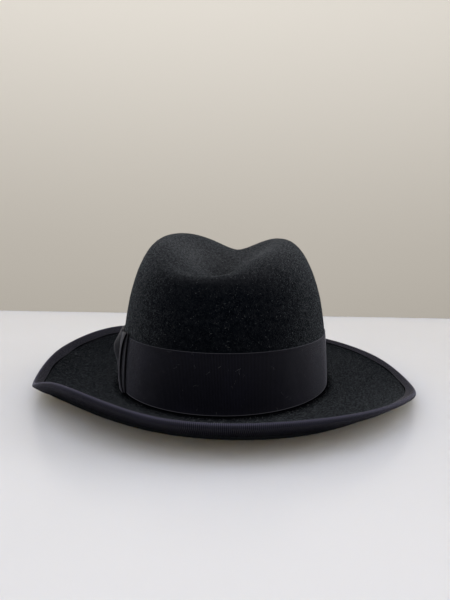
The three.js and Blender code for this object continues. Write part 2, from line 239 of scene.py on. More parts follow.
def make_object(name, points, quads, triangles=()):
    """A smooth mesh object from points in millimetres."""
    mesh = bpy.data.meshes.new(name)
    points = np.asarray(points, float).reshape(-1, 3) * MM
    quads = np.asarray(quads, int).reshape(-1, 4)
    triangles = np.asarray(triangles, int).reshape(-1, 3)
    corners = np.concatenate([quads.ravel(), triangles.ravel()])
    starts = np.concatenate([np.arange(len(quads)) * 4, len(quads) * 4 + np.arange(len(triangles)) * 3])
    mesh.vertices.add(len(points))
    mesh.vertices.foreach_set("co", points.astype(np.float32).ravel())
    mesh.loops.add(len(corners))
    mesh.loops.foreach_set("vertex_index", corners.astype(np.int32))
    mesh.polygons.add(len(starts))
    mesh.polygons.foreach_set("loop_start", starts.astype(np.int32))
    mesh.polygons.foreach_set("use_smooth", np.ones(len(starts), bool))
    mesh.update(calc_edges=True)
    mesh.validate()
    thing = bpy.data.objects.new(name, mesh)
    bpy.context.scene.collection.objects.link(thing)
    return thing


def add_value(thing, name, values):
    layer = thing.data.attributes.new(name, "FLOAT", "POINT")
    layer.data.foreach_set("value", np.asarray(values, np.float32).ravel())


def loop_quads(rows, columns, closed_rows=True):
    """Faces of a grid whose columns close on themselves, and whose rows may."""
    i = np.arange(rows if closed_rows else rows - 1)[:, None]
    j = np.arange(columns)[None]
    a = i * columns + j
    b = ((i + 1) % rows) * columns + j
    c = ((i + 1) % rows) * columns + (j + 1) % columns
    d = i * columns + (j + 1) % columns
    return np.stack([a, b, c, d], -1).reshape(-1, 4)


def ribbon_object(name, section_points, closed):
    """A ribbon from sections along it, each a closed loop of points round its thickness."""
    rows, columns = section_points.shape[:2]
    quads = loop_quads(rows, columns, closed)
    caps = []
    if not closed:
        half = columns // 2
        for row, flip in ((0, False), (rows - 1, True)):
            for k in range(half - 1):
                face = [row * columns + q for q in (k, k + 1, columns - 2 - k, columns - 1 - k)]
                caps.append(face[::-1] if flip else face)
    faces = np.concatenate([quads, np.array(caps, int).reshape(-1, 4)]) if caps else quads
    return make_object(name, section_points, faces)


# Felt body

AROUND = 360
CREASED_RINGS, LOWER_RINGS = np.linspace(0.995, 0.3, 96), np.linspace(0.29, 0.0, 14)
FILLET_RINGS, BRIM_RINGS = (0.1, 0.25, 0.45, 0.7, 1.0), np.linspace(0.03, 1.0, 30)
CLEAR_OF_BINDING = 1.5
BINDING_RINGS = (-0.9, -0.3, 0.5, 2.0, 4.0, BINDING_W)
EDGE_ROUND, EDGE_TURNS = 0.25, (0.3, 0.5, 0.7)
SHARPEST = 0.1
# Dust with painted light from above: lighter high on the crown where the felt faces up, on the raised brim
# and in the crown's bowl
DUST_LIGHT_HEIGHTS, DUST_LIGHT_UPRIGHT, DUST_LIGHT_LEVEL, DUST_LIGHT_OPEN, DUST_LIGHT_BOWL = (78, 112), 0.35, 0.65, 0.8, 2.5
BRIM_DUST_LIGHT, BRIM_DUST_LIGHT_HEIGHTS = 0.22, (6, 26)
# Painted shade on the felt: a low nap value underneath, and painted shadow lines beside the band's foot and
# the binding's inner edge
UNDER_PAINTED_SHADE, BAND_PAINTED_SHADOW, BINDING_PAINTED_SHADOW = 0.2, (1.5, 5.0), (0.1, 1.3)


def felt_object():
    """Crown and brim: a wall of felt with a rounded edge, and what its material needs at each point."""
    around = AROUND
    angles = np.arange(around) * TAU / around
    # rings of the crown from just off the top down to its foot, closer together over the crease
    stations = np.concatenate([CREASED_RINGS, LOWER_RINGS])
    rings = []
    for s in stations:
        p, n = crown_place(angles, np.full(around, s))
        rings.append((p, n))
    reach = reach_at(angles)
    start = BREAK + REST
    outs = [np.full(around, BREAK * q) for q in FILLET_RINGS] + [np.full(around, start)]
    outs += [start + (reach - BINDING_W - CLEAR_OF_BINDING - start) * q for q in BRIM_RINGS]
    outs += [reach - BINDING_W + q for q in BINDING_RINGS]
    for out in outs:
        p, n = brim_place(angles, out)
        rings.append((p, n))
    outer = [p for p, n in rings]
    edge_p, edge_n = rings[-1]
    level = out_at_edge(angles, edge_n)
    edge = [edge_p - edge_n * FELT / 2 * (1 - math.cos(t)) + level * EDGE_ROUND * math.sin(t)
            for t in (math.pi * q for q in EDGE_TURNS)]
    # the under and inner face, with fewer rings
    keep = list(range(0, len(rings), 2))
    if keep[-1] != len(rings) - 1:
        keep.append(len(rings) - 1)
    inner = [rings[k][0] - rings[k][1] * FELT for k in keep][::-1]
    grid = np.array(outer + edge + inner)
    top = crown_point(np.array(0.0), np.array(1.0))
    under_top = top - np.array([0, 0, FELT])
    points = np.concatenate([grid.reshape(-1, 3), [top, under_top]])
    rows = len(grid)
    quads = loop_quads(rows, around, False)
    j = np.arange(around)
    last = (rows - 1) * around
    fan = np.concatenate([
        np.stack([np.full(around, rows * around), j, (j + 1) % around], 1),
        np.stack([np.full(around, rows * around + 1), last + (j + 1) % around, last + j], 1),
    ])
    thing = make_object("felt_hat_body", points, quads, fan)
    # how sharply the felt turns outwards, for the rubbed look on its ridges, which also paints a highlight
    # there
    crest = np.zeros(len(points))
    mean = (np.roll(grid, 1, 0) + np.roll(grid, -1, 0) + np.roll(grid, 1, 1) + np.roll(grid, -1, 1)) / 4
    normals = np.zeros_like(grid)
    for k, (p, n) in enumerate(rings):
        normals[k] = n
    bend = ((grid - mean) * normals).sum(-1)
    spacing = np.linalg.norm(np.roll(grid, -1, 0) - grid, axis=-1) ** 2 + np.linalg.norm(
        np.roll(grid, -1, 1) - grid, axis=-1) ** 2
    curve = bend / np.maximum(spacing, 0.05)
    curve[0] = curve[1]
    curve[len(rings) - 1:] = 0
    crest[:rows * around] = np.clip(curve, -SHARPEST, SHARPEST).ravel()
    add_value(thing, "crest", crest)
    # dust and rubbing on the crown's top, which hands take hold of, and dust in its bowl, with painted
    # light from above: lighter where the felt faces up, high on the crown and on the raised brim, and
    # lighter in the bowl against its shade
    dust_and_top_light = np.zeros(len(points))
    height = grid[..., 2]
    upward = np.clip(normals[..., 2], 0, 1)
    bowl = bowl_share(grid[..., 0], grid[..., 1])
    dusty_and_lit = smooth(height, *DUST_LIGHT_HEIGHTS) * (DUST_LIGHT_UPRIGHT + DUST_LIGHT_LEVEL * upward)
    dusty_and_lit = dusty_and_lit * (DUST_LIGHT_OPEN + DUST_LIGHT_BOWL * bowl)
    brim = slice(len(stations), None)
    dusty_and_lit[brim] = BRIM_DUST_LIGHT * upward[brim] * smooth(height[brim], *BRIM_DUST_LIGHT_HEIGHTS)
    dusty_and_lit[len(rings):] = 0
    dust_and_top_light[:rows * around] = dusty_and_lit.ravel()
    dust_and_top_light[rows * around] = 1
    add_value(thing, "dust_and_top_light", dust_and_top_light)
    # the nap's sheen stands up on the upper faces; painted shade lowers it, with a darker tone, underneath
    # and in thin painted shadow lines close to the band's foot and the binding's inner edge
    nap = np.zeros(len(points))
    nap_sheen_with_painted_shade = np.ones((rows, around))
    nap_sheen_with_painted_shade[len(rings):] = UNDER_PAINTED_SHADE
    for k, out in enumerate(outs):
        clear_of_band_shadow = smooth(out, *BAND_PAINTED_SHADOW)
        clear_of_binding_shadow = smooth(reach - BINDING_W - out, *BINDING_PAINTED_SHADOW)
        nap_sheen_with_painted_shade[len(stations) + k] = np.minimum(clear_of_band_shadow, clear_of_binding_shadow)
    nap[:rows * around] = nap_sheen_with_painted_shade.ravel()
    nap[rows * around] = 1
    add_value(thing, "nap", nap)
    return thing


# Ribbons

RIB_ROUND, BAND_RIBS, BINDING_RIBS = 0.8, 584, 930
FINE_ANGLES = np.linspace(0, TAU, 20001)
# Off the felt: each ribbon's face in the grooves, how far its ribs rise, and its back
BAND_STAND, BAND_RIB, BAND_BACK = 0.62, 0.16, 0.32
BINDING_STAND, BINDING_RIB, BINDING_BACK = 0.42, 0.2, 0.06
BAND_HEIGHTS = np.array([0.0, 0.2, 0.45, 0.65, 5.0, 12.0, 20.0, 29.0, 36.0, BAND_W - 0.5, BAND_W - 0.35,
                         BAND_W - 0.15, BAND_W])
BAND_SELVAGE = np.array([0.7, 1.0, 0.9, 0.0, 0, 0, 0, 0, 0, 0.0, 0.6, 0.7, 0.4])
BAND_BACK_HEIGHTS = (BAND_W - 0.1, BAND_W / 2, 0.1)
BAND_SWAY, BAND_RIPPLE, BAND_SELVAGE_RISE = 0.15, 0.08, 0.14
# The binding's section: shares of its width in from the edge, and turns round the edge
BINDING_IN, BINDING_SELVAGE_FROM = [1.0, 0.955, 0.9, 0.6, 0.3, 0.06], 0.94
BINDING_TURNS, BINDING_PUSH, BINDING_WANDER = (0.14, 0.32, 0.5, 0.68, 0.86), 0.72, 0.3
# How much the binding is handled, over its top, round the edge and underneath, which also paints its light:
# lighter over the top and round the edge, painted shade underneath
BINDING_WEAR_AND_LIGHT = [1.0] * 5 + [1.15, 1.45, 1.5, 1.3, 0.95, 0.7, 0.5, 0.35, 0.15, 0.06, 0.03, 0.03]


def rib(phase):
    """The height of a rib across its width, from 0 in the groove to 1."""
    return np.abs(np.sin(math.pi * phase)) ** RIB_ROUND


def even_angles(length, columns):
    """Angles at equal steps of a length that grows with FINE_ANGLES."""
    return np.interp(np.arange(columns) / columns * length[-1], length, FINE_ANGLES)


def band_object(ribs, per_rib):
    """The crown's band: upright ribs between two smooth selvages."""
    columns = ribs * per_rib
    pace = np.hypot(CROWN_A * np.sin(FINE_ANGLES), CROWN_B * np.cos(FINE_ANGLES))
    angles = even_angles(np.r_[0, np.cumsum((pace[1:] + pace[:-1]) / 2)], columns)
    phase = np.arange(columns) / per_rib
    sway = waves(11, 5, 2, 8)(angles)
    ripple = waves(12, 6, 9, 30)(angles)
    loops = []
    for h, edge, steady in zip(BAND_HEIGHTS, BAND_SELVAGE, [1] * 4 + [0.4] * 9):
        z = FOOT + h + BAND_SWAY * sway * steady
        p, n = crown_place(angles, station_at(z))
        ribbed = BAND_RIB * rib(phase) * (1 - 0.75 * edge)
        bow = BAND_RIPPLE * ripple * math.sin(math.pi * h / BAND_W)
        loops.append(p + n * (BAND_STAND + ribbed + BAND_SELVAGE_RISE * edge + bow)[:, None])
    for h in BAND_BACK_HEIGHTS:
        p, n = crown_place(angles, station_at(FOOT + h + np.zeros(columns)))
        loops.append(p + n * BAND_BACK)
    grid = np.stack(loops, 1)
    thing = ribbon_object("crown_ribbon_band", grid, True)
    flat = np.r_[BAND_SELVAGE, [0] * len(BAND_BACK_HEIGHTS)]
    add_value(thing, "rib", rib(phase)[:, None] * (1 - flat) + 0.8 * flat)
    add_value(thing, "wear_and_painted_light", np.ones((columns, len(flat))))
    add_value(thing, "selvage", np.repeat(flat[None], columns, 0))
    return thing


def binding_object(ribs, per_rib):
    """The ribbon folded over the brim's edge: ribs across it, and a smooth selvage at both ends."""
    columns = ribs * per_rib
    p = brim_point(FINE_ANGLES, reach_at(FINE_ANGLES))
    angles = even_angles(np.r_[0, np.cumsum(np.linalg.norm(np.diff(p, axis=0), axis=1))], columns)
    phase = np.arange(columns) / per_rib
    wander = waves(21, 7, 3, 26)(angles)
    under_wander = waves(22, 7, 3, 26)(angles)
    reach = reach_at(angles)
    edge_p, edge_n = brim_place(angles, reach)
    level = out_at_edge(angles, edge_n)
    centre = edge_p - edge_n * FELT / 2
    ribbed = BINDING_RIB * rib(phase)
    back = np.full(columns, BINDING_BACK)

    def face(share):
        edge = 1.0 if share > BINDING_SELVAGE_FROM else 0.0
        return BINDING_STAND + ribbed * (1 - 0.8 * edge) + 0.06 * edge

    def leg(share, off, below, wave):
        out = reach - share * (BINDING_W + BINDING_WANDER * wave)
        q, n = brim_place(angles, out)
        return q - n * (FELT + off)[:, None] if below else q + n * off[:, None]

    loops = [leg(share, face(share), False, wander) for share in BINDING_IN]
    for turn in BINDING_TURNS:
        radius = FELT / 2 + BINDING_STAND + ribbed
        rise = math.cos(math.pi * turn) * radius
        push = math.sin(math.pi * turn) * (BINDING_PUSH * radius)
        loops.append(centre + edge_n * rise[:, None] + level * push[:, None])
    loops += [leg(share, face(share), True, under_wander) for share in BINDING_IN[::-1]]
    # the inner face, close to the felt
    loops += [leg(share, back, True, under_wander) for share in (0.99, 0.3)]
    loops.append(centre + level * 0.5)
    loops += [leg(share, back, False, wander) for share in (0.3, 0.99)]
    grid = np.stack(loops, 1)
    thing = ribbon_object("brim_edge_binding", grid, True)
    add_value(thing, "rib", np.repeat(rib(phase)[:, None], grid.shape[1], 1))
    rows = grid.shape[1]
    flat = np.zeros(rows)
    flat[[0, 1]] = (0.6, 0.4)
    add_value(thing, "selvage", np.repeat(flat[None], columns, 0))
    # painted light across the section, with the wear: lighter on top and round the edge, painted shade
    # underneath
    wear_and_painted_light = np.r_[BINDING_WEAR_AND_LIGHT, [0] * (rows - len(BINDING_WEAR_AND_LIGHT))]
    add_value(thing, "wear_and_painted_light", np.repeat(wear_and_painted_light[None], columns, 0))
    return thing


# Bow

def bow_angle(distance):
    """The angle at a distance round the crown from the bow's middle."""
    fine = np.linspace(math.radians(BOW_ANGLE) - 1.2, math.radians(BOW_ANGLE) + 1.2, 4001)
    pace = np.hypot(CROWN_A * np.sin(fine), CROWN_B * np.cos(fine))
    length = np.r_[0, np.cumsum((pace[1:] + pace[:-1]) / 2 * np.diff(fine))]
    length -= np.interp(math.radians(BOW_ANGLE), fine, length)
    return np.interp(distance, length, fine)


strip_puff = steady_curve([0, 0.12, 0.35, 0.66, 0.85, 1.0], [0.35, 0.85, 1.0, 1.0, 0.9, 0.5])
knot_puff = steady_curve([0, 0.12, 0.35, 0.66, 0.85, 1.0], [0.0, 0.03, 0.35, 1.0, 0.5, 0.0])
# How far the strips' ends are turned under, and the room in the fold
HEM, FOLD_GAP = 7.0, 0.25
BOW_THICK, STRIP_RIB, STRIP_SELVAGE_RISE, STRIP_WAVE = 0.4, 0.07, 0.05, 0.15
UNDER_LOW, OVER_LOW, KNOT_LOW = 0.05, 0.6, 1.15
STRIP_SHARES = np.array([0.0, 0.008, 0.018, 0.03, 0.07, 0.12, 0.2, 0.3, 0.4, 0.5, 0.6, 0.7, 0.8, 0.88, 0.94,
                         0.97, 0.982, 0.992, 1.0])
STRIP_EDGE = np.array([0.5, 1.0, 0.9, 0.0] + [0.0] * 11 + [0.0, 0.9, 1.0, 0.5])
KNOT_ROWS, KNOT_STEPS, KNOT_EDGE, KNOT_RIB_PITCH = 36, 260, 0.8, 0.9
KNOT_STAND, KNOT_RIB, KNOT_PLEAT, KNOT_TURN, KNOT_RETURN = 0.42, 0.14, 0.3, 0.75, 0.35


def clear_of_knot(along, length):
    """How far a strip has left the knot, from 0 under it to 1 at the strip's end."""
    return smooth(np.abs(along), KNOT_LEN / length, 1.0)


def stand_off(along, length):
    """The share of its lift that a strip has there, less at the bow's front end."""
    return clear_of_knot(along, length) * np.where(along < 0, FRONT_SHARE, 1.0)


def strip_top(along, length):
    """The height of a strip's upper edge, which stands above the band at the back end."""
    end = np.where(along < 0, FRONT_PROUD, BACK_PROUD)
    return FOOT + BAND_W + MIDDLE_PROUD + (end - MIDDLE_PROUD) * clear_of_knot(along, length)


def strip_object(name, length, low, lift, hollow, seed):
    """A ribbon that lies along the band, its ends turned under, a selvage above and below."""
    half = length / 2
    # the ribbon's run in plan: in under one end, round its fold, along, and round the other fold
    run = np.arange(-half, half + 1e-6, 0.2)
    hem = np.arange(half - HEM, half, 0.5)
    turn = np.linspace(-math.pi / 2, math.pi / 2, 7)[1:-1]
    radius = (FOLD_GAP + BOW_THICK) / 2
    path = [(-h, -2 * radius) for h in hem]
    path += [(-half - radius * math.cos(t), -radius + radius * math.sin(t)) for t in turn]
    path += [(r, 0.0) for r in run]
    path += [(half + radius * math.cos(t), -radius + radius * math.sin(t)) for t in turn[::-1]]
    path += [(h, -2 * radius) for h in hem[::-1]]
    place = np.array(path)
    # 1 on the side that shows, and 0 inside the folds, where shade is painted dark
    clear_of_fold_shade = smooth(place[:, 1], -1.2 * radius, -0.1 * radius)
    # direction square to the run, in its own plan
    step = np.gradient(place, axis=0)
    step /= np.linalg.norm(step, axis=1, keepdims=True)
    square = np.stack([-step[:, 1], step[:, 0]], 1)
    travelled = np.r_[0, np.cumsum(np.linalg.norm(np.diff(place, axis=0), axis=1))]
    ribs = rib(travelled)
    wave = waves(seed, 5, 20, 60)

    def skin(share, height_edge, side):
        squeeze = 1 - hollow * math.sin(math.pi * share) / half
        ribbed = STRIP_RIB * ribs * (1 - 0.75 * height_edge) + STRIP_SELVAGE_RISE * height_edge
        reach = (BOW_THICK / 2 + ribbed) * side
        along = (place[:, 0] + square[:, 0] * reach) * squeeze
        share_along = np.clip(place[:, 0] / half, -1, 1)
        base = low + lift * stand_off(share_along, length) * strip_puff(share)
        folds = 2 * radius * clear_of_knot(share_along, length)
        off = base + BOW_THICK / 2 + place[:, 1] + folds + square[:, 1] * reach
        z = FOOT + (strip_top(share_along, length) - FOOT) * share
        z = z + STRIP_WAVE * wave(share_along * 0.3 + 2)
        p, n = crown_place(bow_angle(along), station_at(z))
        return p + n * (RIBBON_OFF + off)[:, None]

    loops = [skin(q, e, 1) for q, e in zip(STRIP_SHARES, STRIP_EDGE)]
    loops += [skin(q, e, -1) for q, e in zip(STRIP_SHARES[::-1], STRIP_EDGE[::-1])]
    grid = np.stack(loops, 1)
    thing = ribbon_object(name, grid, False)
    add_value(thing, "rib", np.repeat(ribs[:, None], grid.shape[1], 1))
    inner = np.zeros(len(STRIP_EDGE))
    # painted shade inside the folds and on the strip's back: no selvage and a dark tone there
    add_value(thing, "selvage", clear_of_fold_shade[:, None] * np.r_[0.6 * STRIP_EDGE, inner][None])
    add_value(thing, "wear_and_painted_light", clear_of_fold_shade[:, None] * np.r_[inner + 1, inner][None])
    return thing


def knot_object():
    """The short ribbon wrapped upright over the bow's middle: its ribs run across it."""
    rows = KNOT_ROWS
    side = np.linspace(-1, 1, rows)
    angle = bow_angle(side * KNOT_LEN / 2)
    edge = np.clip(1 - (1 - np.abs(side)) * KNOT_LEN / 2 / KNOT_EDGE, 0, 1)
    top = FOOT + BAND_W + MIDDLE_PROUD
    heights = np.linspace(0, 1, KNOT_STEPS)
    flat = RIBBON_OFF + KNOT_LOW
    loops, ribs = [], []

    def place(z, off):
        p, n = crown_place(angle, station_at(np.full(rows, z)))
        return p + n * np.broadcast_to(off, (rows,))[:, None]

    def wall(share, extra):
        lift = flat + KNOT_LIFT * (1 - np.abs(side) ** 2.2) * knot_puff(share)
        pleat = KNOT_PLEAT * np.cos(side * math.pi * 1.5) * math.sin(math.pi * share)
        return place(FOOT + (top - FOOT) * share, lift + pleat * knot_puff(share) + extra)

    for share in heights:
        height = rib(share * (top - FOOT) / KNOT_RIB_PITCH)
        loops.append(wall(share, KNOT_STAND + KNOT_RIB * height * (1 - 0.7 * edge)))
        ribs.append(height)
    # over the strips' upper edges, in towards the felt, and back down behind
    for t in np.linspace(0, 1, 7)[1:]:
        turn = t * math.pi / 2
        inward = flat + KNOT_STAND - KNOT_TURN * (1 - math.cos(turn))
        loops.append(place(top + KNOT_TURN * math.sin(turn), inward))
        ribs.append(0.6)
    for depth in (0.9, 1.6):
        loops.append(place(top + KNOT_TURN, flat - depth))
        ribs.append(0.6)
    for depth in (1.6, 0.4):
        loops.append(place(top + KNOT_RETURN, flat - depth))
        ribs.append(0.3)
    for share in heights[::-10]:
        loops.append(wall(share, 0.0))
        ribs.append(0.3)
    grid = np.stack(loops, 1)
    count = grid.shape[1]
    quads = loop_quads(rows, count, False)
    # the two selvages: the loop's outer run joined to its inner run
    outer = len(heights) + 8
    inner = count - outer
    caps = []
    for row, flip in ((0, True), (rows - 1, False)):
        for k in range(outer - 1):
            a = row * count + k
            j0 = count - 1 - int(k * inner / outer)
            j1 = count - 1 - int((k + 1) * inner / outer)
            face = [a, a + 1, row * count + j1, row * count + j0]
            caps.append((face[:3] if j0 == j1 else face, flip))
    tris = [f[::-1] if flip else f for f, flip in caps if len(f) == 3]
    fours = [f[::-1] if flip else f for f, flip in caps if len(f) == 4]
    quads = np.concatenate([quads, np.array(fours).reshape(-1, 4)])
    thing = make_object("bow_wrapped_knot", grid, quads, tris)
    add_value(thing, "rib", np.repeat(np.array(ribs)[None], rows, 0))
    add_value(thing, "selvage", np.repeat(smooth(edge, 0.2, 0.9)[:, None], count, 1))
    add_value(thing, "wear_and_painted_light", np.ones(grid.shape[:2]))
    return thing


# Materials

FELT_DARK, FELT_LIGHT = (0.0012, 0.0018, 0.0030), (0.0030, 0.0038, 0.0052)
FELT_GRAIN, FELT_PAINTED_SHADE = (0.0085, 0.0098, 0.0115), (0.0012, 0.0014, 0.0020)
PALE_HAIR, RUBBED_AND_HIGHLIT, SHEEN_TINT = (0.060, 0.064, 0.068), (0.060, 0.063, 0.067), (0.84, 0.90, 0.96, 1.0)
# How many times each pattern of the felt repeats in a metre
BROAD_SCALE, MOTTLE_SCALE, TUFT_SCALE, GRAIN_SCALE, FIBRE_SCALE = 30, 330, 660, 1000, 1500
FELT_SHEEN, FELT_SHEEN_ROUGH, FELT_SPEC = 0.17, 0.3, 0.0
DUST_AND_TOP_LIGHT, DUST_AND_TOP_LIGHT_SHARE = (0.058, 0.060, 0.064), 0.62
SELVAGE, SELVAGE_SHARE = (0.085, 0.083, 0.095), 0.8
RIBBON_BROAD, RIBBON_FINE, RIBBON_THREAD = 35, 650, 2600
RIBBON_TINT, RIBBON_FUZZ_ROUGH = (0.80, 0.80, 0.95, 1.0), 0.35
# The ribbons: dark and light thread, gloss, fuzz and how much the grooves lose of both
BAND_LOOK = (0.0014, 0.0014, 0.0044), (0.0028, 0.0028, 0.0072), 0.12, 0.40, 0.3
# The bow's ribbon is the band's own, its colours painted lighter for the light it catches
BOW_LIT_LOOK = (0.0062, 0.0061, 0.0092), (0.0120, 0.0118, 0.0165), 0.26, 0.20, 0.5
BINDING_LOOK = (0.0070, 0.0066, 0.0135), (0.0130, 0.0122, 0.0215), 0.16, 0.15, 1.0
NAP_DARK, NAP_LIGHT = (0.010, 0.011, 0.012), (0.130, 0.134, 0.138)
LINT_DARK, LINT_LIGHT = (0.13, 0.135, 0.14), (0.36, 0.36, 0.35)
TABLE_DARK, TABLE_LIGHT = (0.708, 0.705, 0.718), (0.738, 0.733, 0.748)
FLOOR_GLOW, FLOOR_DEPTH, FLOOR_COLOURS = 1.0, 0.06, (1.0, 0.86, 0.58)
WALL_LOW, WALL_TOP, WALL_SHADE = (0.59, 0.54, 0.455), (0.88, 0.83, 0.735), (0.28, 0.9)
WALL_PALE = (0.9, 0.86, 0.78)


def times(factor, colour):
    return tuple(factor * c for c in colour)


def material(name):
    made = bpy.data.materials.new(name)
    made.use_nodes = True
    tree = made.node_tree
    shader = tree.nodes["Principled BSDF"]
    return made, tree, shader


def node(tree, kind, **values):
    made = tree.nodes.new(kind)
    for key, value in values.items():
        if key in made.inputs:
            made.inputs[key].default_value = value
        else:
            setattr(made, key, value)
    return made


def maths(tree, operation, *values):
    """Two values added or multiplied, or more of them one after another."""
    total = values[0]
    for value in values[1:]:
        made = tree.nodes.new("ShaderNodeMath")
        made.operation = operation
        for socket, part in zip(made.inputs, (total, value)):
            if isinstance(part, (int, float)):
                socket.default_value = part
            else:
                tree.links.new(part, socket)
        total = made.outputs[0]
    return total


def attribute(tree, name):
    return node(tree, "ShaderNodeAttribute", attribute_name=name).outputs["Fac"]


def noise(tree, place, scale, detail=3.0, rough=0.55, distortion=0.0):
    made = node(tree, "ShaderNodeTexNoise", Scale=scale, Detail=detail, Roughness=rough,
                Distortion=distortion)
    tree.links.new(place, made.inputs["Vector"])
    return made.outputs["Fac"]


def spread(tree, value, low, high, to_low=0.0, to_high=1.0):
    """A value that goes smoothly from to_low to to_high between low and high."""
    made = tree.nodes.new("ShaderNodeMapRange")
    made.interpolation_type = "SMOOTHSTEP"
    for key, v in (("From Min", low), ("From Max", high), ("To Min", to_low), ("To Max", to_high)):
        made.inputs[key].default_value = v
    tree.links.new(value, made.inputs["Value"])
    return made.outputs["Result"]


def mix(tree, share, a, b):
    made = tree.nodes.new("ShaderNodeMix")
    made.data_type = "RGBA"
    for key, value in ((6, a), (7, b)):
        if isinstance(value, tuple):
            made.inputs[key].default_value = (*value, 1.0)
        else:
            tree.links.new(value, made.inputs[key])
    if isinstance(share, (int, float)):
        made.inputs[0].default_value = share
    else:
        tree.links.new(share, made.inputs[0])
    return made.outputs[2]


def felt_material():
    made, tree, shader = material("black_fur_felt")
    place = node(tree, "ShaderNodeTexCoord").outputs["Object"]
    mottle = noise(tree, place, MOTTLE_SCALE, 4, 0.65, 0.6)
    grain = noise(tree, place, GRAIN_SCALE, 3, 0.7, 1.0)
    fibre = noise(tree, place, FIBRE_SCALE, 2, 0.6, 2.5)
    tuft = noise(tree, place, TUFT_SCALE, 3, 0.65, 0.8)
    broad = noise(tree, place, BROAD_SCALE, 3, 0.5)
    tone = mix(tree, spread(tree, mottle, 0.36, 0.66), FELT_DARK, FELT_LIGHT)
    tone = mix(tree, maths(tree, "MULTIPLY", spread(tree, grain, 0.50, 0.68), 0.7), tone, FELT_GRAIN)
    # pale hairs in the felt, one here and there
    speck = maths(tree, "MULTIPLY", spread(tree, fibre, 0.60, 0.70), spread(tree, mottle, 0.42, 0.60))
    tone = mix(tree, maths(tree, "MULTIPLY", speck, 0.55), tone, PALE_HAIR)
    nap = attribute(tree, "nap")
    patch = spread(tree, broad, 0.3, 0.7, 0.75, 1.0)
    clumps = spread(tree, tuft, 0.37, 0.63, 0.45, 1.2)
    # dust with painted light from above, lighter on upward faces and in the bowl
    settled_and_lit = maths(tree, "MULTIPLY", attribute(tree, "dust_and_top_light"), patch, clumps)
    tone = mix(tree, maths(tree, "MULTIPLY", settled_and_lit, DUST_AND_TOP_LIGHT_SHARE), tone, DUST_AND_TOP_LIGHT)
    # rubbed ridges, with a painted highlight where the felt turns outwards
    ridge_rub_and_highlight = spread(tree, attribute(tree, "crest"), 0.004, 0.03)
    rubbed_and_highlit = maths(tree, "MULTIPLY", ridge_rub_and_highlight, spread(tree, tuft, 0.36, 0.62, 0.4, 1.1))
    tone = mix(tree, maths(tree, "MULTIPLY", rubbed_and_highlit, 0.5), tone, RUBBED_AND_HIGHLIT)
    # painted shade: darker underneath and in thin painted shadow lines along the ribbons' edges
    tone = mix(tree, spread(tree, nap, 0.9, 0.1), tone, FELT_PAINTED_SHADE)
    tree.links.new(tone, shader.inputs["Base Color"])
    shader.inputs["Roughness"].default_value = 1.0
    shader.inputs["Specular IOR Level"].default_value = FELT_SPEC
    # the nap's sheen, uneven as its tufts are, and cut back by the painted shade underneath and beside the
    # ribbons
    by_tuft = spread(tree, tuft, 0.38, 0.62, 0.42, 1.58)
    by_grain = spread(tree, grain, 0.36, 0.64, 0.65, 1.35)
    nap_sheen_with_painted_shade = maths(tree, "MULTIPLY", by_tuft, by_grain, nap, FELT_SHEEN)
    tree.links.new(nap_sheen_with_painted_shade, shader.inputs["Sheen Weight"])
    shader.inputs["Sheen Roughness"].default_value = FELT_SHEEN_ROUGH
    shader.inputs["Sheen Tint"].default_value = SHEEN_TINT
    coarse, thin = maths(tree, "MULTIPLY", grain, 0.7), maths(tree, "MULTIPLY", fibre, 0.45)
    bump = node(tree, "ShaderNodeBump", Strength=0.8, Distance=0.0008)
    tree.links.new(maths(tree, "ADD", coarse, thin), bump.inputs["Height"])
    tree.links.new(bump.outputs["Normal"], shader.inputs["Normal"])
    return made


def hair_material(name, low, high):
    made, tree, shader = material(name)
    place = node(tree, "ShaderNodeTexCoord").outputs["Object"]
    tone = mix(tree, spread(tree, noise(tree, place, 900, 3, 0.7), 0.42, 0.70), low, high)
    tree.links.new(tone, shader.inputs["Base Color"])
    shader.inputs["Roughness"].default_value = 0.7
    shader.inputs["Specular IOR Level"].default_value = 0.1
    return made


